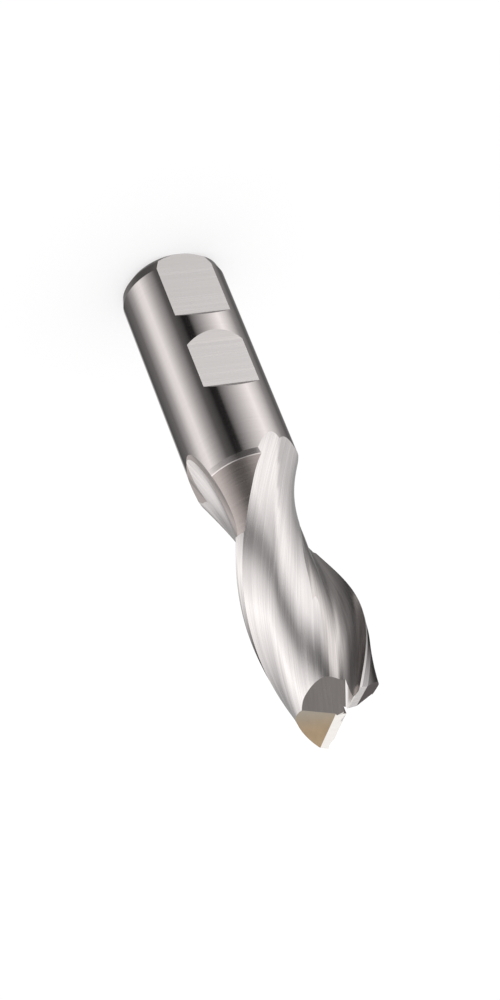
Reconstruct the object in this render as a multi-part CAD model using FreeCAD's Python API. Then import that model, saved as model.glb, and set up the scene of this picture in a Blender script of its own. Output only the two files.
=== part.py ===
import FreeCAD, Part
import math
import os

os.makedirs("parts", exist_ok=True)
V = FreeCAD.Vector

# Two-flute slot drill ground from one bar: plain shank with two clamping
# flats, short neck, right-hand helical flutes, centre-cutting end.
# Millimetres.  Origin in the middle of the shank end face, +Z to the tip,
# the flats look along -Y.

# ---- overall ----
length = 121.0            # overall
d_shank = 25.0            # shank diameter
d_cut = 25.0              # cutting diameter
l_shank = 57.85           # shank length up to the shoulder
l_cut = 45.0              # length of the cutting edges
d_neck = 24.0             # ground neck between shank and cutting edges
shoulder_len = 1.35       # taper from shank to neck
end_cone_len = 3.7        # lead-in cone at the shank end reaches to here
end_cone_drop = 0.55      # how much the cone comes in, on the radius
end_chamfer_z = 1.5       # chamfer at the end face, height and width
end_chamfer_r = 1.45
centre_d = 5.0            # centre hole in the shank end, across its mouth
centre_pilot_d = 2.0      # pilot drilling of the centre hole
centre_pilot_len = 5.2

# ---- clamping flats ----
flat_h = 10.5             # height of the flats above the axis
flat1_end = 17.7          # first flat runs from the end face to here
flat2_a = 26.4            # second flat, floor
flat2_b = 38.45
flat_wall = 45.0          # slope of the end walls of the flats, degrees

# ---- helix and section of one tooth (angles from the cutting edge) ----
helix = 30.25             # helix angle at the cutting diameter
w_land = 0.60             # first land behind the cutting edge
relief_1 = 9.6            # its relief angle
relief_2 = 19.4           # relief angle of the second land
back_angle = 47.3         # direction of the tooth back, behind the edge
back_dist = 9.56          # distance of the tooth back from the axis
back_bulge = 0.37         # crown of the tooth back
ridge_angle = 51.5        # ridge between tooth back and flute floor
core_r = 6.72             # core
floor_bulge = 0.70        # crown of the flute floor
join_at = 0.80            # where the floor starts to blend into the core
join_to = 35.0            # where on the core the blend ends, degrees past the floor
join_dip = 5.0            # angle at which it leaves the core again
join_swing = 27.0         # how far it then swings back out
face_from = 16.0          # where on the core the cutting-face pass starts
rake = 8.8                # radial rake of the cutting face
hook_r = 5.55             # hollow of the cutting face

# ---- how the grinding wheels leave the work at the shank end ----
# Each pass: height and width of the blend from helix to straight travel,
# direction in which the wheel lifts (behind the edge), wheel radius, height
# where it starts to lift, angle of the straight travel, skew of the wheel.
out_back = (40.84, 0.99, 47.3, 79.7, 82.01, 0.0, 2.41)
# floor and cutting-face passes, first and second flute
out_floor = ((64.66, 4.0, 54.6, 102.7, 71.87, 30.5, 0.95),
             (56.53, 7.68, 48.7, 108.8, 80.48, 23.3, 0.9))
out_face = ((80.1, 5.81, 158.4, 60.4, 81.03, 25.8, -1.05),
            (74.57, 1.19, 103.2, 100.5, 85.29, 7.8, -0.73))

# ---- end teeth ----
dish = 1.5                # end edges fall this much towards the centre
end_land = 2.05           # width of the first land of the end edges
end_relief_1 = 7.0
end_relief_2 = 30.5
gash_rake = 6.0           # axial rake of the end cutting face
lip_long = -1.5           # the long lip crosses the axis to here
lip_short = 3.83          # the short lip stops here, a notch clears the middle
notch_slope = 1.58        # fall of the notch towards the middle
notch_depth = 3.9         # its depth there
hollow_slope = 0.35       # fall of the gash beyond it

R = d_cut / 2.0
k = math.tan(math.radians(helix)) / R      # twist in radians per mm
edge_tip = 90.0                            # direction of the first edge at the tip
rad = math.radians


# ------------------------------------------------------------------ section
def lin(a, b, n):
    return [(a[0] + (b[0] - a[0]) * i / float(n - 1),
             a[1] + (b[1] - a[1]) * i / float(n - 1)) for i in range(n)]


def unit(a):
    m = math.hypot(a[0], a[1])
    return (a[0] / m, a[1] / m)


def tooth():
    """Corner points of one tooth, u along the edge radius, v behind it."""
    a1, a2 = rad(relief_1), rad(relief_2)
    e = (R, 0.0)
    p1 = (R - w_land * math.sin(a1), w_land * math.cos(a1))
    na = (math.cos(rad(back_angle)), math.sin(rad(back_angle)))
    d2 = (-math.sin(a2), math.cos(a2))
    s = (back_dist - (p1[0] * na[0] + p1[1] * na[1])) / (d2[0] * na[0] + d2[1] * na[1])
    heel = (p1[0] + d2[0] * s, p1[1] + d2[1] * s)
    er = (math.cos(rad(ridge_angle)), math.sin(rad(ridge_angle)))
    rr = back_dist / (er[0] * na[0] + er[1] * na[1])
    ridge = (er[0] * rr, er[1] * rr)
    return e, p1, heel, na, d2, ridge, rr


def back_profile():
    """Tooth back, a lightly crowned line run out past both ends."""
    e, p1, heel, na, d2, ridge, rr = tooth()
    pts = []
    n = 13
    lo, hi = -1.15, 2.2
    for i in range(n):
        f = lo + (hi - lo) * i / float(n - 1)
        g = min(max(f, -0.25), 1.25)
        b = back_bulge * 4 * g * (1 - g)
        if f != g:
            b += back_bulge * 4 * (1 - 2 * g) * (f - g)
        pts.append((heel[0] + (ridge[0] - heel[0]) * f + na[0] * b,
                    heel[1] + (ridge[1] - heel[1]) * f + na[1] * b))
    return pts


def floor_points():
    e, p1, heel, na, d2, ridge, rr = tooth()
    bt = rad(ridge_angle) + math.acos(core_r / rr)
    tp = (core_r * math.cos(bt), core_r * math.sin(bt))
    nf = (math.cos(bt), math.sin(bt))
    t = unit((tp[0] - ridge[0], tp[1] - ridge[1]))
    slope = 4 * floor_bulge / math.hypot(tp[0] - ridge[0], tp[1] - ridge[1])
    t_in = unit((t[0] + nf[0] * slope, t[1] + nf[1] * slope))
    t_out = unit((t[0] - nf[0] * slope, t[1] - nf[1] * slope))
    return ridge, tp, nf, bt, t_in, t_out


def floor_profile():
    """Flute floor from the ridge to the core, run out past both ends."""
    ridge, tp, nf, bt, t_in, t_out = floor_points()
    pts = []
    for d in (11.0, 8.0, 5.0, 2.4):
        pts.append((ridge[0] - t_in[0] * d, ridge[1] - t_in[1] * d))
    for i in range(6):
        f = join_at * i / 5.0
        b = floor_bulge * 4 * f * (1 - f)
        pts.append((ridge[0] + (tp[0] - ridge[0]) * f + nf[0] * b,
                    ridge[1] + (tp[1] - ridge[1]) * f + nf[1] * b))
    # blend from there into the core
    p0 = pts[-1]
    b = floor_bulge * 4 * (1 - 2 * join_at)
    t0 = unit((tp[0] - ridge[0] + nf[0] * b, tp[1] - ridge[1] + nf[1] * b))
    a1 = bt + rad(join_to)
    p1 = (core_r * math.cos(a1), core_r * math.sin(a1))
    a2 = a1 + math.pi / 2 - rad(join_dip)
    t1 = (math.cos(a2), math.sin(a2))
    m = math.hypot(p1[0] - p0[0], p1[1] - p0[1])
    for i in range(1, 7):
        x = i / 6.0
        h = (2 * x ** 3 - 3 * x ** 2 + 1, m * (x ** 3 - 2 * x ** 2 + x),
             3 * x ** 2 - 2 * x ** 3, m * (x ** 3 - x ** 2))
        pts.append((p0[0] * h[0] + t0[0] * h[1] + p1[0] * h[2] + t1[0] * h[3],
                    p0[1] * h[0] + t0[1] * h[1] + p1[1] * h[2] + t1[1] * h[3]))
    # past the core the pass swings up and out through the open flute
    x, y, d = p1[0], p1[1], 0.0
    stops = [0.8, 1.6, 2.5, 3.6, 6.0, 9.5, 13.5, 17.5]
    while stops:
        g = min(d / 3.6, 1.0)
        a = a2 - rad(join_swing) * g * g * (3 - 2 * g)
        x, y, d = x + 0.05 * math.cos(a), y + 0.05 * math.sin(a), d + 0.05
        if d >= stops[0] - 1e-6:
            pts.append((x, y))
            stops.pop(0)
    return pts


def face_profile():
    """Core, hollow and cutting face of the other tooth, run out past both ends."""
    ridge, tp, nf, bt, t_in, t_out = floor_points()
    # cutting face line and the circle that rounds it into the core
    g = rad(rake)
    bp = (-R, 0.0)
    dr = (math.cos(g), -math.sin(g))
    nr = (math.sin(g), math.cos(g))
    c0 = (bp[0] + nr[0] * hook_r, bp[1] + nr[1] * hook_r)
    hb = c0[0] * dr[0] + c0[1] * dr[1]
    cc = c0[0] ** 2 + c0[1] ** 2 - (core_r + hook_r) ** 2
    s = -hb - math.sqrt(max(hb * hb - cc, 0.0))
    c = (c0[0] + dr[0] * s, c0[1] + dr[1] * s)
    pr = (bp[0] + dr[0] * s, bp[1] + dr[1] * s)
    pts = []
    b0 = bt + rad(face_from)
    fp = (core_r * math.cos(b0), core_r * math.sin(b0))
    lead = (math.sin(b0 + 0.35), -math.cos(b0 + 0.35))
    for d in (14.0, 10.0, 6.0, 3.0, 1.2):
        pts.append((fp[0] + lead[0] * d, fp[1] + lead[1] * d))
    bc = math.atan2(c[1], c[0])
    for i in range(0, 7):
        a = b0 + (bc - b0) * i / 7.0
        pts.append((core_r * math.cos(a), core_r * math.sin(a)))
    th0 = math.atan2(-c[1], -c[0])
    th1 = math.atan2(pr[1] - c[1], pr[0] - c[0])
    while th1 < th0:
        th1 += 2 * math.pi
    if th1 - th0 > math.pi:
        th1 -= 2 * math.pi
    for i in range(0, 9):
        a = th0 + (th1 - th0) * i / 8.0
        pts.append((c[0] + hook_r * math.cos(a), c[1] + hook_r * math.sin(a)))
    for d in (2.0, 4.5, 8.0):
        pts.append((pr[0] - dr[0] * d, pr[1] - dr[1] * d))
    return pts


# ------------------------------------------------------- travel of a section
def travel(out, turn, z_list):
    """Angle of the tooth edge and straight travel of the section at each height."""
    z0, wd, nang, rw, zs, lam, skew = out
    step = 0.05
    th = rad(edge_tip + turn)
    tx = ty = 0.0
    rows = []
    z = length + 4.0
    th += k * 4.0
    while z > 44.0:
        b = 1.0 / (1.0 + math.exp(max(min((z - z0) / wd, 60.0), -60.0)))
        na = th - rad(nang)
        rows.append((th, tx, ty))
        th -= k * (1.0 - b) * step
        tx += b * math.tan(rad(lam)) * math.sin(na) * step
        ty -= b * math.tan(rad(lam)) * math.cos(na) * step
        z -= step
    res = []
    for zq in z_list:
        i = int(round((length + 4.0 - zq) / step))
        i = min(max(i, 0), len(rows) - 1)
        res.append((zq, rows[i][0], rows[i][1], rows[i][2], out))
    return res


def place(p, row):
    z, th, tx, ty, out = row
    u, v = p
    if out:
        nx, ny = math.cos(rad(out[2])), math.sin(rad(out[2]))
        side = -u * ny + v * nx
        d = max(out[4] - (z - out[6] * side), 0.0)
        lift = out[3] - math.sqrt(max(out[3] ** 2 - d * d, 1.0))
        u, v = u + nx * lift, v + ny * lift
    c, s = math.cos(th), math.sin(th)
    return V(u * c + v * s + tx, u * s - v * c + ty, z)


def chord(profile):
    d = [0.0]
    for a, b in zip(profile[:-1], profile[1:]):
        d.append(d[-1] + math.hypot(b[0] - a[0], b[1] - a[1]))
    return [x / d[-1] for x in d]


def fitted(points, params):
    b = Part.BSplineCurve()
    b.interpolate(Points=points, Parameters=params)
    return b


def skin(profile, rows):
    """Surface through one profile carried along all rows."""
    zs = [abs(r[0] - rows[0][0]) for r in rows]
    columns = [fitted([place(p, r) for r in rows], zs) for p in profile]
    c0 = columns[0]
    poles = [c.getPoles() for c in columns]          # [profile][row pole]
    surf = Part.BSplineSurface()
    if len(profile) == 2:
        surf.buildFromPolesMultsKnots(poles, [2, 2], c0.getMultiplicities(),
                                      [0.0, 1.0], c0.getKnots(), False, False, 1, c0.Degree)
        return surf.toShape()
    t = chord(profile)
    across = [fitted([poles[j][i] for j in range(len(profile))], t) for i in range(len(poles[0]))]
    a0 = across[0]
    grid = [c.getPoles() for c in across]            # [row pole][profile pole]
    swap = [[grid[i][j] for i in range(len(grid))] for j in range(len(grid[0]))]
    surf.buildFromPolesMultsKnots(swap, a0.getMultiplicities(), c0.getMultiplicities(),
                                  a0.getKnots(), c0.getKnots(), False, False, a0.Degree, c0.Degree)
    return surf.toShape()


def strip(pa, pb, rows):
    return skin([pa, pb], rows)


def cutter(profile, outer, rows):
    """Solid swept by a section: one smooth working side, straight outer sides."""
    faces = [skin(profile, rows)]
    loop = [profile[-1]] + list(outer) + [profile[0]]
    for a, b in zip(loop[:-1], loop[1:]):
        faces.append(strip(a, b, rows))
    for r in (rows[0], rows[-1]):
        edges = [fitted([place(p, r) for p in profile], chord(profile)).toShape()]
        for a, b in zip(loop[:-1], loop[1:]):
            edges.append(Part.makeLine(place(a, r), place(b, r)))
        edges = Part.__sortEdges__(edges)
        faces.append(Part.Face(Part.Wire(edges)))
    sh = Part.Shell(faces)
    sh.sewShape()
    so = Part.Solid(sh)
    if so.Volume < 0:
        so.reverse()
    return so


def heights(z_lo, z_hi, n):
    return [z_lo + (z_hi - z_lo) * i / float(n - 1) for i in range(n)]


z_top = length + 2.0

# ------------------------------------------------------------------- blank
rs, rn = d_shank / 2.0, d_neck / 2.0
z_neck = length - l_cut
outline = [V(0, 0, 0),
           V(rs - end_cone_drop - end_chamfer_r, 0, 0),
           V(rs - end_cone_drop, 0, end_chamfer_z),
           V(rs, 0, end_cone_len),
           V(rs, 0, l_shank),
           V(rn, 0, l_shank + shoulder_len),
           V(rn, 0, z_neck),
           V(R, 0, z_neck + 0.25),
           V(R, 0, length),
           V(0, 0, length - R * math.tan(rad(dish))),
           V(0, 0, 0)]
blank = Part.Face(Part.makePolygon(outline)).revolve(V(0, 0, 0), V(0, 0, 1), 360)

# centre hole in the shank end
cone_len = (centre_d - centre_pilot_d) / 2.0 / math.tan(rad(30))
hole = Part.makeCone(centre_d / 2.0, centre_pilot_d / 2.0, cone_len)
hole = hole.fuse(Part.makeCylinder(centre_pilot_d / 2.0, centre_pilot_len))
hole = hole.fuse(Part.makeCone(centre_pilot_d / 2.0, 0.0, centre_pilot_d / 2.0 / math.tan(rad(59)),
                               V(0, 0, centre_pilot_len)))
body = blank.cut(hole)

# clamping flats with sloping end walls
w = math.tan(rad(90 - flat_wall))
dy = rs + 1.5 - flat_h


def flat(za, zb, slope_a, slope_b):
    pts = [V(-20, -flat_h, za), V(-20, -flat_h, zb),
           V(-20, -flat_h - dy, zb + dy * slope_b), V(-20, -flat_h - dy, za - dy * slope_a),
           V(-20, -flat_h, za)]
    return Part.Face(Part.makePolygon(pts)).extrude(V(40, 0, 0))


body = body.cut(flat(-1.0, flat1_end, 0.0, w))
body = body.cut(flat(flat2_a, flat2_b, w, w))

# ------------------------------------------------------------------ flutes
e, p1, heel, na, d2, ridge, rr = tooth()
back = back_profile()
floor = floor_profile()
face = face_profile()
far = 30.0


def outer_of(profile, direction):
    """Two far corners that close a section on its open side."""
    a, b = profile[-1], profile[0]
    return [(a[0] + direction[0] * far, a[1] + direction[1] * far),
            (b[0] + direction[0] * far, b[1] + direction[1] * far)]


z_grid = heights(46.0, z_top, 60)
cutters = []
for side, turn in ((0, 0.0), (1, 180.0)):
    rows = travel(out_back, turn, z_grid)
    cutters.append(("back", cutter(back, outer_of(back, na), rows)))
    rows = travel(out_floor[side], turn, z_grid)
    cutters.append(("floor", cutter(floor, outer_of(floor, floor_points()[2]), rows)))
    rows = travel(out_face[side], turn, z_grid)
    cutters.append(("face", cutter(face, outer_of(face, (-0.35, 0.94)), rows)))

# peripheral lands behind each cutting edge
d1 = (-math.sin(rad(relief_1)), math.cos(rad(relief_1)))
lead = (e[0] - d1[0] * 1.2, e[1] - d1[1] * 1.2)
tail = (heel[0] + d2[0] * 1.6, heel[1] + d2[1] * 1.6)
z_grid_land = heights(z_neck + 0.1, z_top, 30)


def helix_rows(turn, zs):
    return [(z, rad(edge_tip + turn) - k * (length - z), 0.0, 0.0, None) for z in zs]


for turn in (0.0, 180.0):
    rows = helix_rows(turn, z_grid_land)
    loop = [lead, p1, tail, (tail[0] + 3.0, tail[1] + 1.0), (lead[0] + 4.0, lead[1] + 0.6), lead]
    faces = [strip(a, b, rows) for a, b in zip(loop[:-1], loop[1:])]
    for r in (rows[0], rows[-1]):
        faces.append(Part.Face(Part.makePolygon([place(p, r) for p in loop])))
    sh = Part.Shell(faces)
    sh.sewShape()
    so = Part.Solid(sh)
    if so.Volume < 0:
        so.reverse()
    cutters.append(("land", so))

for name, c in cutters:
    print(name, "valid", c.isValid(), "closed", c.isClosed(), "volume %.1f" % c.Volume)
    body = body.cut(c)
    print("  body", body.isValid(), len(body.Solids), "%.1f" % body.Volume)

# --------------------------------------------------------------- end teeth
# first and second relief of the end edges: each half is cut by two sloping
# planes that pass along the edge.  Depths are measured down from the tip.
t1, t2, td = math.tan(rad(end_relief_1)), math.tan(rad(end_relief_2)), math.tan(rad(dish))


def z_edge(yy):
    return length - (R - abs(yy)) * td


def wedge(x0, x1, z0, z1, y0, y1, top=8.0):
    """Everything above a plane that falls from x0 to x1 and follows the dish."""
    def q(x, y, z):
        return V(x, y, z)
    dz0 = (R - y0) * td
    dz1 = (R - y1) * td
    a = [q(x0, y0, z0 - dz0), q(x1, y0, z1 - dz0), q(x1, y1, z1 - dz1), q(x0, y1, z0 - dz1)]
    b = [q(p.x, p.y, length + top) for p in a]
    fs = [Part.Face(Part.makePolygon([a[0], a[1], a[2], a[3], a[0]])),
          Part.Face(Part.makePolygon([b[0], b[1], b[2], b[3], b[0]]))]
    for i in range(4):
        j = (i + 1) % 4
        fs.append(Part.Face(Part.makePolygon([a[i], a[j], b[j], b[i], a[i]])))
    sh = Part.Shell(fs)
    sh.sewShape()
    so = Part.Solid(sh)
    if so.Volume < 0:
        so.reverse()
    return so


def end_relief(y_in):
    xl = end_land
    z0 = length
    first = wedge(-0.9, 14.0, z0 + 0.9 * t1, z0 - 14.0 * t1, y_in, 14.0)
    second = wedge(xl, 14.0, z0 - xl * t1, z0 - xl * t1 - (14.0 - xl) * t2, y_in - 5.0, 14.0)
    return first, second


def turned(shape):
    s = shape.copy()
    s.rotate(V(0, 0, 0), V(0, 0, 1), 180)
    return s


fa, sa = end_relief(lip_long)
fb, sb = end_relief(lip_long)
body = body.cut(sa)
body = body.cut(turned(sb))
body = body.cut(fa)
body = body.cut(turned(fb))

# gash in front of each end edge: a steep cutting face under the edge and a
# sloping face beyond it


def plane_from(p, q, r):
    n = (q - p).cross(r - p)
    n.normalize()
    return p, n


def halfspace(p, n, size=60.0):
    """Big block on the side that n points to."""
    base = Part.makePlane(size, size, V(-size / 2.0, -size / 2.0, 0))
    blk = base.extrude(V(0, 0, size))
    rot = FreeCAD.Rotation(V(0, 0, 1), n)
    blk.Placement = FreeCAD.Placement(p, rot)
    return blk


def gash(floor_pts):
    # the cutting face contains the short end edge x = 0.35 and leans back
    gr = rad(gash_rake)
    n_face = V(math.cos(gr), 0, math.sin(gr) * -1.0)
    wall = halfspace(V(0.30, 0, length), n_face)
    p, n = plane_from(*floor_pts)
    if n.z < 0:
        n = n * -1.0
    cut = wall.common(halfspace(p, n))
    return cut


# the middle of the short tooth is notched down beside the long lip
def above(x0, x1, y0, z0, y1, z1):
    """Everything above a plane that falls from z0 at y0 to z1 at y1."""
    base = [V(x0, y0, z0), V(x1, y0, z0), V(x1, y1, z1), V(x0, y1, z1)]
    roof = [V(q.x, q.y, length + 8.0) for q in base]
    fs = [Part.Face(Part.makePolygon(base + base[:1])), Part.Face(Part.makePolygon(roof + roof[:1]))]
    for i in range(4):
        j = (i + 1) % 4
        fs.append(Part.Face(Part.makePolygon([base[i], base[j], roof[j], roof[i], base[i]])))
    sh = Part.Shell(fs)
    sh.sewShape()
    so = Part.Solid(sh)
    if so.Volume < 0:
        so.reverse()
    return so


lip_end = length - (R - lip_short) * td
notch = above(-9.4, 0.6, lip_long, lip_end + notch_slope * (-lip_short - lip_long),
              -6.5, lip_end + notch_slope * (6.5 - lip_short))
hollow = above(-8.0, -0.3, lip_long - 0.2, length - notch_depth + hollow_slope * 0.2,
               6.0, length - notch_depth - hollow_slope * (6.0 - lip_long))

floor_b = [V(8.0, 0.9, length - 3.9), V(3.55, -0.85, length - 1.25), V(-0.2, -6.5, length - 4.5)]
gb = gash(floor_b)
ga = turned(gb)
body = body.cut(gb)
body = body.cut(ga)
body = body.cut(notch)
body = body.cut(hollow)

body = body.removeSplitter()
sol = max(body.Solids, key=lambda s: s.Volume)

# the clamped part of the shank, with its flats, and the plain part beyond
# them keep a wall face each
clamp_end = 41.3
lower = Part.makeBox(60, 60, clamp_end + 5, V(-30, -30, -5))
sol = sol.common(lower).fuse(sol.cut(lower))
body = sol
sol = max(body.Solids, key=lambda s: s.Volume)
print("solids", len(body.Solids), "valid", sol.isValid(), "volume %.1f" % sol.Volume,
      "faces", len(sol.Faces), "box", sol.BoundBox)
sol.exportStep("parts/slot_drill.step")
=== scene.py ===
import math

import bpy
import bmesh
import numpy as np
from mathutils import Matrix, Vector


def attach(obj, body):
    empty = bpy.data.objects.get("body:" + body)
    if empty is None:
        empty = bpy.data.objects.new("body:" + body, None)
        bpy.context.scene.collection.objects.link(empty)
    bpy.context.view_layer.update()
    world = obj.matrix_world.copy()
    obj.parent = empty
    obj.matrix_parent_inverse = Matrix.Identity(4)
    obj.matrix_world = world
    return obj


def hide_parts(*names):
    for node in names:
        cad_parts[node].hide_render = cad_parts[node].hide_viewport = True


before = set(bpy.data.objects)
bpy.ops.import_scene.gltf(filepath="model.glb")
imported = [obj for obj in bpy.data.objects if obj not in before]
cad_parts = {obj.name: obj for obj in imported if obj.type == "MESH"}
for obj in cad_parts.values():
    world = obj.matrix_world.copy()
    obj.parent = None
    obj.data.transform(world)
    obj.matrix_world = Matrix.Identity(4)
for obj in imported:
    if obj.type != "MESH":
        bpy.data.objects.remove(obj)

scene = bpy.context.scene


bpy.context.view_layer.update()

# ------------------------------------------------------------------ dimensions
# Millimetres, the same frame as the CAD part: origin in the middle of the shank
# end face, +Z to the tip, the clamping flats look along -Y.
L = 121.0
R = 12.5
RN = 12.0
Z_SHANK = 57.85
Z_SHOULDER = 59.2
Z_NECK = 76.0
FLAT_H = 10.5
FLAT1_END = 17.7
FLAT2 = (26.4, 38.45)
K = math.tan(math.radians(30.25)) / R
W_LAND = 0.60
RELIEF_1, RELIEF_2 = 9.6, 19.4
BACK_ANGLE, BACK_DIST, BACK_BULGE = 47.3, 9.56, 0.37
RIDGE_ANGLE = 51.5
CORE_R = 6.72
FLOOR_BULGE = 0.70
JOIN_AT, JOIN_TO, JOIN_DIP, JOIN_SWING, FACE_FROM = 0.80, 35.0, 5.0, 27.0, 16.0
RAKE = 8.8
HOOK_R = 5.55
OUT_BACK = (40.84, 0.99, 47.3, 79.7, 82.01, 0.0, 2.41)
OUT_FLOOR = {"a": (64.66, 4.0, 54.6, 102.7, 71.87, 30.5, 0.95),
             "b": (56.53, 7.68, 48.7, 108.8, 80.48, 23.3, 0.9)}
OUT_FACE = {"a": (80.1, 5.81, 158.4, 60.4, 81.03, 25.8, -1.05),
            "b": (74.57, 1.19, 103.2, 100.5, 85.29, 7.8, -0.73)}
DISH = 1.5
END_LAND = 2.05
END_RELIEF_1, END_RELIEF_2 = 7.0, 30.5
GASH_RAKE = 6.0
LIP = -1.5
LIP_SHORT = 3.83
NOTCH_SLOPE, NOTCH_DEPTH, HOLLOW_SLOPE = 1.58, 3.9, 0.35

rad = math.radians

# ------------------------------------------------------------------ surface names
NAMES = ["shank", "cones", "end_face", "hole", "neck", "rim", "flat", "flat_wall",
         "back_a", "back_b", "floor_a", "floor_b", "face_a", "face_b",
         "land1_a", "land1_b", "land2_a", "land2_b",
         "relief1", "relief2", "gash_wall", "gash_floor", "dish", "notch", "relief1_b", "relief2_b"]
ID = {n: i for i, n in enumerate(NAMES)}
marks = [bpy.data.materials.new("mark_" + n) for n in NAMES]


# ------------------------------------------------------------------ section
def unit(a):
    a = np.asarray(a, float)
    return a / np.linalg.norm(a)


def tooth():
    a1, a2 = rad(RELIEF_1), rad(RELIEF_2)
    e = np.array([R, 0.0])
    d1 = np.array([-math.sin(a1), math.cos(a1)])
    d2 = np.array([-math.sin(a2), math.cos(a2)])
    p1 = e + d1 * W_LAND
    na = np.array([math.cos(rad(BACK_ANGLE)), math.sin(rad(BACK_ANGLE))])
    heel = p1 + d2 * ((BACK_DIST - p1 @ na) / (d2 @ na))
    er = np.array([math.cos(rad(RIDGE_ANGLE)), math.sin(rad(RIDGE_ANGLE))])
    rr = BACK_DIST / (er @ na)
    return e, d1, d2, p1, na, heel, er * rr, rr


E, D1, D2, P1, NA, HEEL, RIDGE, RR = tooth()
BT = rad(RIDGE_ANGLE) + math.acos(CORE_R / RR)
TP = np.array([CORE_R * math.cos(BT), CORE_R * math.sin(BT)])
NF = np.array([math.cos(BT), math.sin(BT)])


def back_profile(n=72):
    pts = []
    for f in np.linspace(-1.15, 2.2, n):
        g = min(max(f, -0.25), 1.25)
        b = BACK_BULGE * 4 * g * (1 - g)
        b += BACK_BULGE * 4 * (1 - 2 * g) * (f - g)
        pts.append(HEEL + (RIDGE - HEEL) * f + NA * b)
    return np.array(pts)


def floor_dirs():
    t = unit(TP - RIDGE)
    s = 4 * FLOOR_BULGE / np.linalg.norm(TP - RIDGE)
    return unit(t + NF * s), unit(t - NF * s)


def floor_profile():
    t_in, t_out = floor_dirs()
    pts = [RIDGE - t_in * d for d in (11.0, 8.0, 5.5, 3.5, 2.0, 0.9)]
    for f in np.linspace(0, JOIN_AT, 30):
        pts.append(RIDGE + (TP - RIDGE) * f + NF * FLOOR_BULGE * 4 * f * (1 - f))
    p0 = pts[-1]
    t0 = unit(TP - RIDGE + NF * FLOOR_BULGE * 4 * (1 - 2 * JOIN_AT))
    a1 = BT + rad(JOIN_TO)
    p1 = CORE_R * np.array([math.cos(a1), math.sin(a1)])
    a2 = a1 + math.pi / 2 - rad(JOIN_DIP)
    t1 = np.array([math.cos(a2), math.sin(a2)])
    m = np.linalg.norm(p1 - p0)
    for x in np.linspace(0, 1, 17)[1:]:
        pts.append(p0 * (2 * x ** 3 - 3 * x ** 2 + 1) + t0 * m * (x ** 3 - 2 * x ** 2 + x)
                   + p1 * (3 * x ** 2 - 2 * x ** 3) + t1 * m * (x ** 3 - x ** 2))
    o, d = p1.copy(), 0.0
    stops = [0.4, 0.8, 1.2, 1.6, 2.0, 2.5, 3.0, 3.6, 4.6, 6.0, 7.7, 9.5, 11.5, 13.5, 17.5]
    while stops:
        g = min(d / 3.6, 1.0)
        a = a2 - rad(JOIN_SWING) * g * g * (3 - 2 * g)
        o, d = o + 0.05 * np.array([math.cos(a), math.sin(a)]), d + 0.05
        if d >= stops[0] - 1e-6:
            pts.append(o)
            stops.pop(0)
    return np.array(pts)


def face_profile():
    t_in, t_out = floor_dirs()
    g = rad(RAKE)
    bp = np.array([-R, 0.0])
    dr = np.array([math.cos(g), -math.sin(g)])
    nr = np.array([math.sin(g), math.cos(g)])
    c0 = bp + nr * HOOK_R
    hb = c0 @ dr
    s = -hb - math.sqrt(max(hb * hb - (c0 @ c0 - (CORE_R + HOOK_R) ** 2), 0.0))
    c = c0 + dr * s
    pr = bp + dr * s
    b0 = BT + rad(FACE_FROM)
    lead = np.array([math.sin(b0 + 0.35), -math.cos(b0 + 0.35)])
    fp = CORE_R * np.array([math.cos(b0), math.sin(b0)])
    pts = [fp + lead * d for d in (14.0, 11.0, 8.0, 5.5, 3.5, 2.0, 1.0, 0.4)]
    bc = math.atan2(c[1], c[0])
    for a in np.linspace(b0, bc, 16)[:-1]:
        pts.append(np.array([CORE_R * math.cos(a), CORE_R * math.sin(a)]))
    th0 = math.atan2(-c[1], -c[0])
    th1 = math.atan2(pr[1] - c[1], pr[0] - c[0])
    while th1 < th0:
        th1 += 2 * math.pi
    if th1 - th0 > math.pi:
        th1 -= 2 * math.pi
    for a in np.linspace(th0, th1, 24):
        pts.append(c + HOOK_R * np.array([math.cos(a), math.sin(a)]))
    pts += [pr - dr * d for d in np.linspace(0.35, 8.0, 22)]
    return np.array(pts)


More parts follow.
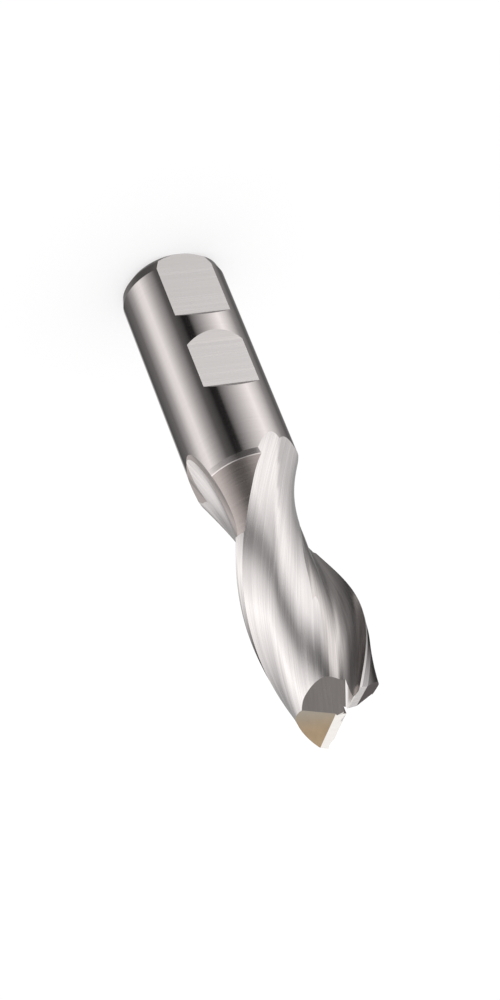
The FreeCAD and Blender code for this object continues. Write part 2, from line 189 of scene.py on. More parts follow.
# ------------------------------------------------------------------ travel
class Travel:
    """Carries a section along the tool: helix, then the wheel's way out."""

    def __init__(self, out, turn):
        self.out = out
        z0, wd, nang, rw, zs, lam, skew = out if out else (-1e3, 1.0, 0.0, 1e6, -1e3, 0.0, 0.0)
        step = 0.05
        zz = np.arange(L + 5.0, 40.0, -step)
        b = 1.0 / (1.0 + np.exp(np.clip((zz - z0) / wd, -60, 60)))
        th = rad(90.0 + turn) + K * 5.0 - np.concatenate([[0], np.cumsum(K * (1 - b[:-1]) * step)])
        na = th - rad(nang)
        tl = math.tan(rad(lam))
        tx = np.concatenate([[0], np.cumsum(b[:-1] * tl * np.sin(na[:-1]) * step)])
        ty = -np.concatenate([[0], np.cumsum(b[:-1] * tl * np.cos(na[:-1]) * step)])
        self.zz, self.th, self.tx, self.ty = zz[::-1], th[::-1], tx[::-1], ty[::-1]
        self.n = np.array([math.cos(rad(nang)), math.sin(rad(nang))])
        self.rw, self.zs, self.skew = rw, zs, skew

    def at(self, z):
        return (np.interp(z, self.zz, self.th), np.interp(z, self.zz, self.tx),
                np.interp(z, self.zz, self.ty))

    def lift(self, u, v, z):
        if not self.out:
            return 0.0 * u
        side = -u * self.n[1] + v * self.n[0]
        d = np.maximum(self.zs - (z - self.skew * side), 0.0)
        return self.rw - np.sqrt(np.maximum(self.rw ** 2 - d * d, 1.0))

    def place(self, p, z):
        u, v = p[..., 0], p[..., 1]
        z = z + 0.0 * u
        lf = self.lift(u, v, z)
        u, v = u + self.n[0] * lf, v + self.n[1] * lf
        th, tx, ty = self.at(z)
        c, s = np.cos(th), np.sin(th)
        return np.stack([u * c + v * s + tx, u * s - v * c + ty, z], -1)

    def back(self, q):
        """Point in space to section coordinates."""
        th, tx, ty = self.at(q[:, 2])
        x, y = q[:, 0] - tx, q[:, 1] - ty
        c, s = np.cos(th), np.sin(th)
        u, v = x * c + y * s, x * s - y * c
        lf = self.lift(u, v, q[:, 2])
        return np.stack([u - self.n[0] * lf, v - self.n[1] * lf], -1)


# ------------------------------------------------------------------ meshes
def make(name, verts, faces, ids):
    me = bpy.data.meshes.new(name)
    me.from_pydata([tuple(v) for v in verts], [], faces)
    for m in marks:
        me.materials.append(m)
    me.polygons.foreach_set("material_index", np.array(ids, np.int32))
    me.update()
    ob = bpy.data.objects.new(name, me)
    scene.collection.objects.link(ob)
    return ob


def volume(verts, faces):
    v = 0.0
    for f in faces:
        a = verts[f[0]]
        for i in range(1, len(f) - 1):
            v += np.dot(a, np.cross(verts[f[i]], verts[f[i + 1]]))
    return v / 6.0


def solid(name, verts, faces, ids):
    verts = np.asarray(verts, float)
    if volume(verts, faces) < 0:
        faces = [f[::-1] for f in faces]
    return make(name, verts, faces, ids)


def sweep(name, profile, outer, tr, z_list, ident, ident_of=None):
    """Closed cutter: profile first, then the outer corners, carried over z_list."""
    ring = np.concatenate([profile, np.array(outer)])
    n = len(ring)
    verts = np.concatenate([tr.place(ring, z) for z in z_list])
    faces, ids = [], []
    for r in range(len(z_list) - 1):
        for i in range(n):
            j = (i + 1) % n
            faces.append((r * n + i, r * n + j, (r + 1) * n + j, (r + 1) * n + i))
            ids.append(ident_of[i] if ident_of and i < len(ident_of) else ident)
    faces.append(tuple(range(n))[::-1])
    faces.append(tuple((len(z_list) - 1) * n + i for i in range(n)))
    ids += [ident, ident]
    return solid(name, verts, faces, ids)


def lathe(name, outline, ids, seg=216):
    """outline: (r, z) points, first and last on the axis."""
    verts, rings = [], []
    for r, z in outline:
        if r < 1e-9:
            rings.append([len(verts)])
            verts.append((0, 0, z))
        else:
            rings.append(list(range(len(verts), len(verts) + seg)))
            for i in range(seg):
                a = 2 * math.pi * (i + 0.37) / seg
                verts.append((r * math.cos(a), r * math.sin(a), z))
    faces, out = [], []
    for (a, b, ident) in zip(rings[:-1], rings[1:], ids):
        for i in range(seg):
            j = (i + 1) % seg
            if len(a) == 1:
                faces.append((a[0], b[j], b[i]))
            elif len(b) == 1:
                faces.append((a[i], a[j], b[0]))
            else:
                faces.append((a[i], a[j], b[j], b[i]))
            out.append(ident)
    return solid(name, verts, faces, out)


def prism(name, base, shift, ids):
    """Polygon carried along a vector; ids per side, then the two ends."""
    base = [np.asarray(b, float) for b in base]
    n = len(base)
    verts = base + [b + np.asarray(shift, float) for b in base]
    faces = [(i, (i + 1) % n, n + (i + 1) % n, n + i) for i in range(n)]
    faces += [tuple(range(n))[::-1], tuple(range(n, 2 * n))]
    return solid(name, verts, faces, ids)


def block(name, lower, top, ident):
    """Everything between four lower corners and the height top."""
    lower = [np.asarray(p, float) for p in lower]
    verts = lower + [np.array([p[0], p[1], top]) for p in lower]
    faces = [(0, 1, 2, 3), (4, 5, 6, 7)] + [(i, (i + 1) % 4, 4 + (i + 1) % 4, 4 + i) for i in range(4)]
    faces[0] = faces[0][::-1]
    return solid(name, verts, faces, [ident] * 6)


def turned(ob, name):
    c = ob.copy()
    c.data = ob.data.copy()
    c.name = name
    c.data.transform(Matrix.Rotation(math.pi, 4, "Z"))
    scene.collection.objects.link(c)
    return c


def carve(base, cutters):
    for c in cutters:
        m = base.modifiers.new(c.name, "BOOLEAN")
        m.operation = "DIFFERENCE"
        m.object = c
        try:
            m.solver = "MANIFOLD"
        except TypeError:
            m.solver = "EXACT"
        if hasattr(m, "material_mode") and m.solver == "EXACT":
            m.material_mode = "INDEX"
        bpy.context.view_layer.update()
        dg = bpy.context.evaluated_depsgraph_get()
        me = bpy.data.meshes.new_from_object(base.evaluated_get(dg))
        base.modifiers.clear()
        old = base.data
        base.data = me
        bpy.data.meshes.remove(old)
        me_c = c.data
        bpy.data.objects.remove(c)
        bpy.data.meshes.remove(me_c)
    return base


# blank with its centre hole
cone_len = 1.5 / math.tan(rad(30))
outline = [(0, 5.2 + 1.0 / math.tan(rad(59))), (1.0, 5.2), (1.0, cone_len), (2.5, 0.0),
           (R - 2.0, 0.0), (R - 0.55, 1.5), (R, 3.7), (R, 41.3), (R, Z_SHANK),
           (RN + 0.05, Z_SHOULDER - 0.135), (RN + 0.015, Z_SHOULDER + 0.006), (RN, Z_SHOULDER + 0.125), (RN, Z_NECK), (R, Z_NECK + 0.25), (R, 99.0), (R, L),
           (0, L - R * math.tan(rad(DISH)))]
ids = [ID[n] for n in ("hole", "hole", "hole", "end_face", "cones", "cones", "shank", "shank",
                       "cones", "cones", "cones", "neck", "cones", "rim", "rim", "dish")]
body = lathe("body", outline, ids)

cut = []
rs1 = R + 1.5
wall = rs1 - FLAT_H
for nm, za, zb, sa in (("flat1", -1.0, FLAT1_END, 0.0), ("flat2", FLAT2[0], FLAT2[1], 1.0)):
    base = [(-20, -FLAT_H, za), (-20, -FLAT_H, zb), (-20, -rs1, zb + wall), (-20, -rs1, za - wall * sa)]
    cut.append(prism(nm, base, (40, 0, 0),
                     [ID["flat"], ID["flat_wall"], ID["flat_wall"], ID["flat_wall"], 6, 6]))

rows = np.concatenate([np.arange(46.0, 80.0, 0.25), np.arange(80.0, L + 2.01, 0.6)])
profiles = {"back": back_profile(), "floor": floor_profile(), "face": face_profile()}
outs = {"back": {"a": OUT_BACK, "b": OUT_BACK}, "floor": OUT_FLOOR, "face": OUT_FACE}
away = {"back": NA, "floor": NF, "face": unit((-0.35, 0.94))}
travels = {}
for side, turn in (("a", 0.0), ("b", 180.0)):
    for nm in ("back", "floor", "face"):
        tr = Travel(outs[nm][side], turn)
        travels[nm + "_" + side] = tr
        p = profiles[nm]
        outer = [p[-1] + away[nm] * 30.0, p[0] + away[nm] * 30.0]
        cut.append(sweep("cut_%s_%s" % (nm, side), p, outer, tr, rows, ID["%s_%s" % (nm, side)]))
    tr = Travel(None, turn)
    travels["land_" + side] = tr
    lead = E - D1 * 1.2
    tail = HEEL + D2 * 1.6
    ring = np.array([lead, P1, tail])
    outer = [tail + np.array([3.0, 1.0]), lead + np.array([4.0, 0.6])]
    cut.append(sweep("cut_land_" + side, ring, outer, tr,
                     np.arange(Z_NECK + 0.1, L + 2.01, 0.45), ID["land2_" + side],
                     [ID["land1_" + side], ID["land2_" + side]]))

t1, t2, td = math.tan(rad(END_RELIEF_1)), math.tan(rad(END_RELIEF_2)), math.tan(rad(DISH))


def wedge(name, x0, x1, z0, z1, y0, y1, ident):
    e0, e1 = (R - y0) * td, (R - y1) * td
    return block(name, [(x0, y0, z0 - e0), (x1, y0, z1 - e0), (x1, y1, z1 - e1), (x0, y1, z0 - e1)],
                 L + 8.0, ident)


first = wedge("first", -0.9, 14.0, L + 0.9 * t1, L - 14.0 * t1, LIP, 14.0, ID["relief1"])
second = wedge("second", END_LAND, 14.0, L - END_LAND * t1,
               L - END_LAND * t1 - (14.0 - END_LAND) * t2, LIP - 5.0, 14.0, ID["relief2"])
cut += [second, turned(second, "second_b"), first, turned(first, "first_b")]


def corner(name, p1_, n1, p2_, n2, ids):
    """Wedge-shaped block in front of two planes."""
    n1, n2 = unit(n1), unit(n2)
    d = unit(np.cross(n1, n2))
    A = np.array([n1, n2, d])
    o = np.linalg.solve(A, np.array([n1 @ p1_, n2 @ p2_, d[2] * L]))
    a1 = np.cross(d, n1)
    a1 = a1 if a1 @ n2 > 0 else -a1
    a2 = np.cross(d, n2)
    a2 = a2 if a2 @ n1 > 0 else -a2
    base = [o - d * 40, o + a1 * 60 - d * 40, o + a2 * 60 - d * 40]
    return prism(name, base, d * 80, [ids[0], ids[1], ids[1], ids[0], ids[0]])


gr = rad(GASH_RAKE)
f0, f1, f2 = (np.array(q, float) for q in ((8.0, 0.9, L - 3.9), (3.55, -0.85, L - 1.25), (-0.2, -6.5, L - 4.5)))
nf = np.cross(f1 - f0, f2 - f0)
nf = nf if nf[2] > 0 else -nf
gash = corner("gash", np.array([0.30, 0, L]), np.array([math.cos(gr), 0, -math.sin(gr)]), f0, nf,
              (ID["gash_wall"], ID["gash_wall"]))
# the side of the block that lies on the floor plane gets its own name
cut += [gash, turned(gash, "gash_b")]


def above(name, x0, x1, y0, z0, y1, z1):
    return block(name, [(x0, y0, z0), (x1, y0, z0), (x1, y1, z1), (x0, y1, z1)], L + 8.0, ID["notch"])


lip_end = L - (R - LIP_SHORT) * td
cut.append(above("notch", -9.4, 0.6, LIP, lip_end + NOTCH_SLOPE * (-LIP_SHORT - LIP),
                 -6.5, lip_end + NOTCH_SLOPE * (6.5 - LIP_SHORT)))
cut.append(above("hollow", -8.0, -0.3, LIP - 0.2, L - NOTCH_DEPTH + HOLLOW_SLOPE * 0.2,
                 6.0, L - NOTCH_DEPTH - HOLLOW_SLOPE * (6.0 - LIP)))

carve(body, cut)

# points that lie within a few micrometres of each other are one point
me = body.data
bm = bmesh.new()
bm.from_mesh(me)
bmesh.ops.remove_doubles(bm, verts=bm.verts, dist=0.0036)
bm.to_mesh(me)
bm.free()

# ------------------------------------------------------------------ regions and normals
nv, nl, npoly = len(me.vertices), len(me.loops), len(me.polygons)
co = np.empty(nv * 3)
me.vertices.foreach_get("co", co)
co = co.reshape(-1, 3)
lv = np.empty(nl, np.int32)
me.loops.foreach_get("vertex_index", lv)
ls = np.empty(npoly, np.int32)
lt = np.empty(npoly, np.int32)
mi = np.empty(npoly, np.int32)
me.polygons.foreach_get("loop_start", ls)
me.polygons.foreach_get("loop_total", lt)
me.polygons.foreach_get("material_index", mi)
pn = np.empty(npoly * 3)
me.polygons.foreach_get("normal", pn)
pn = pn.reshape(-1, 3)
print("mesh", nv, npoly, {NAMES[i]: int((mi == i).sum()) for i in np.unique(mi)}, "box", co.min(0), co.max(0))

# a face of the gash block that faces the gash floor plane is the gash floor
nf_u = unit(nf)
for sgn in (1, -1):
    nn = nf_u * np.array([sgn, sgn, 1])
    mi[(mi == ID["gash_wall"]) & (np.abs(pn @ nn) > 0.999)] = ID["gash_floor"]

# the end reliefs of the second tooth
for nm in ("relief1", "relief2"):
    mi[(mi == ID[nm]) & (pn[:, 0] < 0)] = ID[nm + "_b"]

poly_of_loop = np.repeat(np.arange(npoly), lt)
loop_id = mi[poly_of_loop]
P = co[lv]
N = pn[poly_of_loop].copy()


def profile_normals(profile):
    t = np.gradient(profile, axis=0)
    d = np.linalg.norm(np.diff(profile, axis=0), axis=1)
    seg = np.diff(profile, axis=0) / d[:, None]
    tv = np.zeros_like(profile)
    tv[0], tv[-1] = seg[0], seg[-1]
    w = 1.0 / d
    tv[1:-1] = seg[:-1] * w[:-1, None] + seg[1:] * w[1:, None]
    tv /= np.linalg.norm(tv, axis=1)[:, None]
    return np.stack([-tv[:, 1], tv[:, 0]], 1)


def nearest(profile, nrm, q):
    a, b = profile[:-1], profile[1:]
    d = b - a
    l2 = (d * d).sum(1)
    out = np.empty_like(q)
    run = np.concatenate([[0], np.cumsum(np.sqrt(l2))])
    arc = np.empty(len(q))
    for i in range(0, len(q), 4000):
        x = q[i:i + 4000, None, :]
        f = np.clip(((x - a) * d).sum(2) / l2, 0, 1)
        c = a + f[..., None] * d
        e = ((x - c) ** 2).sum(2)
        j = e.argmin(1)
        r = np.arange(len(j))
        fj = f[r, j][:, None]
        m = nrm[j] * (1 - fj) + nrm[j + 1] * fj
        out[i:i + 4000] = m / np.linalg.norm(m, axis=1)[:, None]
        arc[i:i + 4000] = run[j] + fj[:, 0] * np.sqrt(l2[j])
    return out, arc


def swept_normals(tr, q, n2):
    g = np.empty_like(q)
    h = 0.02
    for ax in range(3):
        e = np.zeros(3)
        e[ax] = h
        g[:, ax] = ((tr.back(q + e) - tr.back(q - e)) * n2).sum(1)
    return g / np.linalg.norm(g, axis=1)[:, None]


work = np.zeros((nl, 3))          # coordinates that run with the grinding marks
for nm in ("back", "floor", "face"):
    prof = profiles[nm]
    pnrm = profile_normals(prof)
    for side in "ab":
        m = loop_id == ID[nm + "_" + side]
        if not m.any():
            continue
        tr = travels[nm + "_" + side]
        q = P[m]
        n2, arc = nearest(prof, pnrm, tr.back(q))
        n3 = swept_normals(tr, q, n2)
        s = np.sign((n3 * N[m]).sum(1))
        N[m] = n3 * np.where(s == 0, 1, s)[:, None]
        work[m] = np.stack([arc, q[:, 2], np.full(len(q), 0.0 if side == "a" else 40.0)], 1)


def other_side(nm, side, q):
    """Distance to the surface of another pass, and its normal there."""
    tr = travels[nm + "_" + side]
    prof = profiles[nm]
    p2 = tr.back(q)
    n2, arc = nearest(prof, profile_normals(prof), p2)
    a, b = prof[:-1], prof[1:]
    d = b - a
    far = np.empty(len(q))
    for i in range(0, len(q), 4000):
        x = p2[i:i + 4000, None, :]
        f = np.clip(((x - a) * d).sum(2) / (d * d).sum(1), 0, 1)
        far[i:i + 4000] = np.sqrt(((x - a - f[..., None] * d) ** 2).sum(2).min(1))
    return far, swept_normals(tr, q, n2)


# the ridge of the tooth is worn round by the wheel towards the tip, and the
# floor runs into the core without an edge
N0 = N.copy()
for nm, ot, w0, w1, lim in (("back", "floor", 0.55, 2.4, 60.0), ("floor", "back", 0.55, 2.4, 60.0),
                            ("floor", "face", 1.2, 1.2, 14.0), ("face", "floor", 1.2, 1.2, 14.0)):
    for side in "ab":
        m = loop_id == ID[nm + "_" + side]
        q = P[m]
        far, n3 = other_side(ot, side, q)
        own = N0[m]
        s = np.sign((n3 * own).sum(1))
        n3 = n3 * np.where(s == 0, 1, s)[:, None]
        ang = np.degrees(np.arccos(np.clip((n3 * own).sum(1), -1, 1)))
        along = far / np.maximum(np.sin(np.radians(np.maximum(ang, 2.0))), 0.03)
        width = w0 + (w1 - w0) * np.clip((q[:, 2] - 84.0) / 32.0, 0, 1)
        x = np.clip(along / width, 0, 1)
        w = 0.5 * (1 - x * x * (3 - 2 * x)) * (ang < lim)
        n = N[m] * (1 - w[:, None]) + n3 * w[:, None]
        N[m] = n / np.linalg.norm(n, axis=1)[:, None]
for nm, dv in (("land1", D1), ("land2", D2)):
    nrm2 = np.array([-dv[1], dv[0]])
    for side in "ab":
        m = loop_id == ID[nm + "_" + side]
        if not m.any():
            continue
        tr = travels["land_" + side]
        q = P[m]
        n3 = swept_normals(tr, q, np.tile(nrm2, (len(q), 1)))
        s = np.sign((n3 * N[m]).sum(1))
        N[m] = n3 * np.where(s == 0, 1, s)[:, None]
        uv = tr.back(q)
        work[m] = np.stack([uv @ dv, q[:, 2], np.full(len(q), 0.0)], 1)
for nm in ("shank", "cones", "neck", "rim", "hole", "dish"):
    m = (loop_id == ID[nm]) & (np.hypot(P[:, 0], P[:, 1]) > 1e-6)
    q = P[m]
    nz = np.clip(N[m][:, 2], -0.9999, 0.9999)
    rr_ = np.hypot(q[:, 0], q[:, 1])
    sgn = np.sign((q[:, :2] * N[m][:, :2]).sum(1))
    c = np.sqrt(1 - nz ** 2) * np.where(sgn == 0, 1, sgn)
    N[m] = np.stack([q[:, 0] / rr_ * c, q[:, 1] / rr_ * c, nz], 1)
for nm in ("shank", "cones", "neck", "rim", "hole", "dish", "end_face"):
    m = loop_id == ID[nm]
    q = P[m]
    work[m] = np.stack([q[:, 2] + np.hypot(q[:, 0], q[:, 1]), np.arctan2(q[:, 1], q[:, 0]) * R, 0 * q[:, 0]], 1)
# the wheel's rounded corner runs the gash wall into its floor
m = loop_id == ID["gash_wall"]
sgn = np.where(N[m][:, 0] > 0, 1.0, -1.0)
flip = np.stack([sgn, sgn, np.ones(len(sgn))], 1)
far = np.abs(((P[m] * flip - f0) * nf_u).sum(1))
w = (0.55 - 0.45 * np.clip(far / 2.2, 0, 1))[:, None]
n = N[m] * (1 - w) + nf_u * flip * w
N[m] = n / np.linalg.norm(n, axis=1)[:, None]
for nm in ("flat", "flat_wall", "relief1", "relief2", "gash_wall", "gash_floor", "notch",
           "relief1_b", "relief2_b"):
    m = loop_id == ID[nm]
    work[m] = P[m]

print("regions ready")

# ------------------------------------------------------------------ materials
cad_obj = [o for o in scene.objects if o.type == "MESH" and o.name.startswith("slot_drill")]
print("cad objects", [o.name for o in cad_obj])


def lin(v):
    return ((v + 0.055) / 1.055) ** 2.4


def metal(name, base, rough, marks_=None, tint=0.0, rough_var=0.0, bump=0.0, cloud=0.0, edge=1.0):
    """Ground steel. marks_ stretches the noise along the grinding marks."""
    m = bpy.data.materials.new(name)
    m.use_nodes = True
    nt = m.node_tree
    b = nt.nodes["Principled BSDF"]
    b.inputs["Metallic"].default_value = 1.0
    b.inputs["Base Color"].default_value = (*base, 1)
    b.inputs["Roughness"].default_value = rough
    b.inputs["Specular Tint"].default_value = (edge, edge, edge, 1)
    if not marks_:
        return m
    at = nt.nodes.new("ShaderNodeAttribute")
    at.attribute_name = "work"

    def noise(scale, detail, rough_=0.6, off=0.0):
        mp = nt.nodes.new("ShaderNodeMapping")
        mp.inputs["Scale"].default_value = scale
        mp.inputs["Location"].default_value = (off, off * 0.7, off * 1.3)
        nt.links.new(at.outputs["Vector"], mp.inputs["Vector"])
        n = nt.nodes.new("ShaderNodeTexNoise")
        n.inputs["Scale"].default_value = 1.0
        n.inputs["Detail"].default_value = detail
        n.inputs["Roughness"].default_value = rough_
        nt.links.new(mp.outputs["Vector"], n.inputs["Vector"])
        return n.outputs["Fac"]

    def math_(op, x, y):
        n = nt.nodes.new("ShaderNodeMath")
        n.operation = op
        for i, q in enumerate((x, y)):
            if isinstance(q, (int, float)):
                n.inputs[i].default_value = q
            else:
                nt.links.new(q, n.inputs[i])
        return n.outputs[0]

    fine = noise(marks_, 3.0)
    broad = noise(tuple(q * 0.22 for q in marks_), 2.0, 0.5, 13.0)
    both = math_("ADD", math_("MULTIPLY", fine, 0.6), math_("MULTIPLY", broad, 0.4))
    if tint or cloud:
        fac = both
        if cloud:
            c = noise((0.12, 0.12, 0.12), 2.0, 0.5, 31.0)
            fac = math_("ADD", math_("MULTIPLY", both, 1.0), math_("MULTIPLY", math_("SUBTRACT", c, 0.5), cloud))
        mix = nt.nodes.new("ShaderNodeMix")
        mix.data_type = "RGBA"
        nt.links.new(math_("ADD", math_("MULTIPLY", math_("SUBTRACT", fac, 0.5), 3.0), 0.5), mix.inputs["Factor"])
        mix.inputs["A"].default_value = (*[max(q * (1 - tint), 0) for q in base], 1)
        mix.inputs["B"].default_value = (*[min(q * (1 + tint), 1) for q in base], 1)
        nt.links.new(mix.outputs["Result"], b.inputs["Base Color"])
    if rough_var:
        r_ = math_("ADD", math_("MULTIPLY", math_("SUBTRACT", both, 0.5), rough_var * 3.0), rough)
        nt.links.new(r_, b.inputs["Roughness"])
    if bump:
        bp = nt.nodes.new("ShaderNodeBump")
        bp.inputs["Strength"].default_value = 1.0
        bp.inputs["Distance"].default_value = bump
        nt.links.new(both, bp.inputs["Height"])
        nt.links.new(bp.outputs["Normal"], b.inputs["Normal"])
    return m


STEEL = (0.66, 0.612, 0.60)
shank_m = metal("ground_steel", STEEL, 0.085, (9.0, 0.12, 1.0), tint=0.03, rough_var=0.03)
end_m = metal("ground_steel_end", STEEL, 0.16, (5.0, 0.2, 1.0), tint=0.05, rough_var=0.05)
neck_m = metal("neck_steel", (0.46, 0.405, 0.385), 0.25, (7.0, 0.12, 1.0), tint=0.06, rough_var=0.05, bump=7e-7)
flat_m = metal("flat_steel", (0.67, 0.64, 0.63), 0.26, (0.05, 1.0, 3.2), tint=0.045, rough_var=0.06, bump=3e-6)
wall_m = metal("flat_wall_steel", (0.56, 0.53, 0.52), 0.22, (0.05, 4.0, 4.0), tint=0.12, rough_var=0.05, bump=3e-6)
flute_m = metal("flute_steel", (0.70, 0.665, 0.655), 0.235, (3.4, 0.05, 1.0), tint=0.15, rough_var=0.12, bump=8e-6)
face_m = metal("face_steel", (0.60, 0.56, 0.545), 0.21, (3.0, 0.05, 1.0), tint=0.14, rough_var=0.08, bump=7e-6)
# painted shade: tooth B's rake face is the same steel as tooth A's face_steel, with a darker base colour standing in
# for the shade it lies in
face_b_painted_shade_m = metal("face_steel_b_painted_shade", (0.42, 0.375, 0.355), 0.24, (3.0, 0.05, 1.0), tint=0.12, rough_var=0.08, bump=6e-6)
# painted shade: the back of tooth B is the flute_steel of tooth A again, darkened in base colour and in edge tint
# for the shade it lies in
back_b_painted_shade_m = metal("back_steel_b_painted_shade", (0.34, 0.32, 0.32), 0.24, (3.4, 0.05, 1.0), tint=0.12, rough_var=0.08, edge=0.15)
land2_m = metal("land_steel_2", (0.66, 0.63, 0.62), 0.22, (3.4, 0.05, 1.0), tint=0.12, rough_var=0.08, edge=0.12)
# painted shade: the second land of tooth B is land_steel_2 again with a darker base colour for its shade
land2_b_painted_shade_m = metal("land_steel_2b_painted_shade", (0.41, 0.385, 0.385), 0.22, (3.4, 0.05, 1.0), tint=0.12, rough_var=0.08, edge=0.12)
land_m = metal("land_steel", (0.60, 0.575, 0.565), 0.18, (6.0, 0.08, 1.0), tint=0.05, rough_var=0.05)
relief1_m = metal("end_land_steel", (0.55, 0.525, 0.50), 0.18, (0.4, 5.0, 1.0), tint=0.04, rough_var=0.04)
relief2_m = metal("end_relief_steel", (0.45, 0.328, 0.205), 0.24, (0.5, 0.25, 0.5), tint=0.10, rough_var=0.05, cloud=0.6)
# straw heat tint towards the corner of the lip
rn = relief2_m.node_tree
rb = rn.nodes["Principled BSDF"]
rc = rn.nodes.new("ShaderNodeTexCoord")
rd = rn.nodes.new("ShaderNodeVectorMath")
rd.operation = "DOT_PRODUCT"
rd.inputs[1].default_value = (-0.633, 0.774, 0.0)
rn.links.new(rc.outputs["Object"], rd.inputs[0])
rr = rn.nodes.new("ShaderNodeMapRange")
rr.interpolation_type = "SMOOTHSTEP"
rr.inputs["From Min"].default_value = -0.0075
rr.inputs["From Max"].default_value = 0.0035
rn.links.new(rd.outputs["Value"], rr.inputs["Value"])
rx_ = rn.nodes.new("ShaderNodeMix")
rx_.data_type = "RGBA"
rn.links.new(rr.outputs["Result"], rx_.inputs["Factor"])
rx_.inputs["A"].default_value = (0.43, 0.405, 0.355, 1)
rn.links.new(rb.inputs["Base Color"].links[0].from_socket, rx_.inputs["B"])
rn.links.new(rx_.outputs["Result"], rb.inputs["Base Color"])
# painted light: the end land of tooth B is end_land_steel again with a brighter base colour for the light it catches
relief1_b_painted_light_m = metal("end_land_steel_b_painted_light", (0.74, 0.71, 0.70), 0.20, (0.4, 5.0, 1.0), tint=0.06, rough_var=0.05)
# painted shade: the end relief of tooth B is a near-black matte sheet, not metal, that stands in for the shade on
# that face
relief2_b_painted_shade_m = metal("end_relief_steel_b_painted_shade", (0.080, 0.067, 0.067), 0.60, (0.5, 4.0, 0.5), tint=0.15)
relief2_b_painted_shade_m.node_tree.nodes["Principled BSDF"].inputs["Metallic"].default_value = 0.0
relief2_b_painted_shade_m.node_tree.nodes["Principled BSDF"].inputs["Specular IOR Level"].default_value = 0.03
notch_m = metal("notch_steel", (0.30, 0.265, 0.265), 0.25, (0.5, 4.0, 0.5), tint=0.12, rough_var=0.05)
gash_m = metal("gash_steel", (0.36, 0.33, 0.315), 0.25, (3.2, 0.2, 0.1), tint=0.08, rough_var=0.06, bump=4e-6)
gwall_m = metal("gash_wall_steel", (0.67, 0.645, 0.637), 0.18, (1.0, 4.0, 0.3), tint=0.06, rough_var=0.05)

real = {"shank": shank_m, "cones": end_m, "end_face": end_m, "hole": end_m, "neck": neck_m, "rim": land_m,
        "flat": flat_m, "flat_wall": wall_m, "back_a": flute_m, "back_b": back_b_painted_shade_m, "floor_a": flute_m,
        "floor_b": flute_m, "face_a": face_m, "face_b": face_b_painted_shade_m, "land1_a": land_m, "land1_b": land_m,
        "land2_a": land2_m, "land2_b": land2_b_painted_shade_m, "relief1": relief1_m, "relief2": relief2_m,
        "gash_wall": gwall_m, "gash_floor": gash_m, "dish": relief1_m, "notch": notch_m,
        "relief1_b": relief1_b_painted_light_m, "relief2_b": relief2_b_painted_shade_m}
order = []
for n in NAMES:
    if real[n] not in order:
        order.append(real[n])
me.materials.clear()
for m_ in order:
    me.materials.append(m_)
lookup = np.array([order.index(real[n]) for n in NAMES], np.int32)
me.polygons.foreach_set("material_index", lookup[mi])
me.polygons.foreach_set("use_smooth", np.ones(npoly, bool))
att = me.attributes.new("work", "FLOAT_VECTOR", "CORNER")
att.data.foreach_set("vector", work.astype(np.float32).ravel())
me.normals_split_custom_set(N.astype(np.float32))
me.transform(Matrix.Scale(0.001, 4))
me.update()
for m_ in marks:
    bpy.data.materials.remove(m_)

body.name = "slot_drill_ground"
me.name = "slot_drill_ground"
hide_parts("slot_drill")
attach(body, "root")

# ------------------------------------------------------------------ floor, light, camera
fl = bpy.data.meshes.new("floor")
fl.from_pydata([(-6, -6, 0), (6, -6, 0), (6, 6, 0), (-6, 6, 0)], [], [(0, 1, 2, 3)])
floor_ob = bpy.data.objects.new("floor", fl)
scene.collection.objects.link(floor_ob)
fm = bpy.data.materials.new("floor_paper")
fm.use_nodes = True
fb = fm.node_tree.nodes["Principled BSDF"]
fb.inputs["Base Color"].default_value = (0.38, 0.38, 0.38, 1)
fb.inputs["Emission Color"].default_value = (1.0, 0.998, 1.0, 1)
fb.inputs["Emission Strength"].default_value = 0.61
fb.inputs["Roughness"].default_value = 0.9
fl.materials.append(fm)

floor_ob.visible_glossy = False

# Soft studio: a white tent lights the floor, and the polished steel mirrors its
# soft boxes and dark gaps, which stand round the tool as upright bands.
world = bpy.data.worlds.new("studio")
scene.world = world
world.use_nodes = True
wt = world.node_tree
bg = wt.nodes["Background"]


def wmath(op, *q):
    n = wt.nodes.new("ShaderNodeMath")
    n.operation = op
    for i, v in enumerate(q):
        if isinstance(v, (int, float)):
            n.inputs[i].default_value = v
        else:
            wt.links.new(v, n.inputs[i])
    return n.outputs[0]


def band(fac, stops, interp="LINEAR"):
    n = wt.nodes.new("ShaderNodeValToRGB")
    r = n.color_ramp
    r.interpolation = interp
    while len(r.elements) > 1:
        r.elements.remove(r.elements[-1])
    for i, (p, v) in enumerate(stops):
        e = r.elements[0] if i == 0 else r.elements.new(p)
        e.position = p
        w = lin(v)
        e.color = (w, w, w, 1)
    wt.links.new(fac, n.inputs["Fac"])
    return n.outputs["Color"]


def wmix(fac, a, b, mode="MIX"):
    n = wt.nodes.new("ShaderNodeMix")
    n.data_type = "RGBA"
    n.blend_type = mode
    if isinstance(fac, (int, float)):
        n.inputs["Factor"].default_value = fac
    else:
        wt.links.new(fac, n.inputs["Factor"])
    wt.links.new(a, n.inputs["A"])
    wt.links.new(b, n.inputs["B"])
    return n.outputs["Result"]


def smooth(v, lo, hi):
    n = wt.nodes.new("ShaderNodeMapRange")
    n.interpolation_type = "SMOOTHSTEP"
    n.inputs["From Min"].default_value = lo
    n.inputs["From Max"].default_value = hi
    wt.links.new(v, n.inputs["Value"])
    return n.outputs["Result"]


tc = wt.nodes.new("ShaderNodeTexCoord")
sp = wt.nodes.new("ShaderNodeSeparateXYZ")
wt.links.new(tc.outputs["Generated"], sp.inputs[0])
turn_ = wmath("FRACT", wmath("ADD", wmath("DIVIDE", wmath("ARCTAN2", sp.outputs["Y"], sp.outputs["X"]), 2 * math.pi), 1.0))
rise = wmath("MULTIPLY", wmath("ARCSINE", sp.outputs["Z"]), 180 / math.pi)
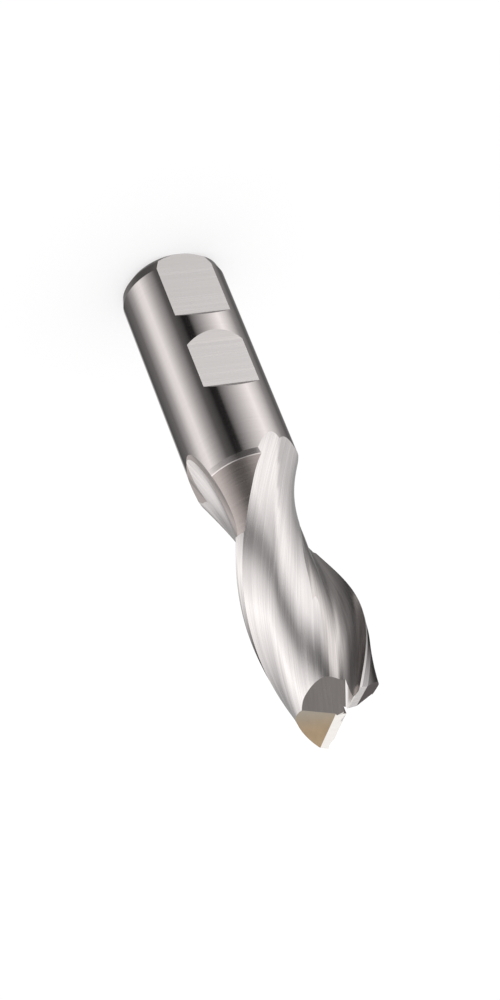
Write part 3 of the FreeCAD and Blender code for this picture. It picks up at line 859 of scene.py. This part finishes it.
# Each row is one height of the tent, read round the tool in degrees: level 1 is
# a lit panel, 0 is the dark room.
rows_of_light = [
    (None, [(0, .25)]),
    ((-78, -66), [(0, .27), (60, .26), (170, .42), (210, .34), (260, .42), (330, .28)]),
    ((-58, -48), [(0, .45), (60, .40), (170, .42), (215, .50), (260, .70), (330, .45)]),
    ((-44, -37), [(0, .86), (12, .82), (30, .60), (50, .38), (86, .26), (108, .74), (122, .70), (135, .36),
                  (155, .31), (180, .50), (202, .76), (222, .90), (280, .37), (287, .12), (298, .10), (304, .22),
                  (318, .32), (338, .62)]),
    ((-30, -27), [(0, .98), (45, .75), (75, .55), (110, .48), (150, .50), (225, .90), (260, .95), (300, .48),
                  (315, .42), (335, .76)]),
    ((-22, -12), [(0, .98), (30, .86), (90, .68), (180, .70), (220, .90), (245, .90), (285, .46), (300, .54),
                  (322, .84)]),
    ((-1, 5), [(0, .75), (45, .70), (110, .60), (180, .75), (235, .85), (262, .36), (298, .20), (335, .56)]),
    ((17, 25), [(0, .75), (40, .60), (75, .72), (109, 1.0), (140, .95), (237, .86), (280, .66), (326, .58)]),
]
tent = None
for span, stops in rows_of_light:
    stops = stops + [(360, stops[0][1])]
    row = band(turn_, [(p / 360.0, v) for p, v in stops])
    tent = row if tent is None else wmix(smooth(rise, float(span[0]), float(span[1])), tent, row)
gain = wt.nodes.new("ShaderNodeVectorMath")
gain.operation = "SCALE"
gain.inputs["Scale"].default_value = 1.55
wt.links.new(tent, gain.inputs[0])
white = wt.nodes.new("ShaderNodeRGB")
white.outputs[0].default_value = (1.0, 0.998, 1.0, 1)
lp = wt.nodes.new("ShaderNodeLightPath")
wt.links.new(wmix(lp.outputs["Is Glossy Ray"], white.outputs[0], gain.outputs["Vector"]), bg.inputs["Color"])
bg.inputs["Strength"].default_value = 1.06

cam_d = bpy.data.cameras.new("camera")
cam_d.sensor_fit = "AUTO"
cam_d.sensor_width = 36.0
cam_d.lens = 2574.16 * 36.0 / 1000.0
cam_d.clip_start = 0.01
cam = bpy.data.objects.new("camera", cam_d)
scene.collection.objects.link(cam)
rx = Vector((-0.91832052, -0.23337358, 0.31972519))
ry = Vector((0.13128497, 0.58243219, 0.80220758))
rz = Vector((-0.37343229, 0.7786588, -0.50422099))
rot = Matrix((rx, -ry, -rz)).transposed()
cam.matrix_world = Matrix.Translation(Vector((0.21507486, -0.4454128, 0.35165089))) @ rot.to_4x4()
scene.camera = cam
scene.view_settings.view_transform = "Standard"
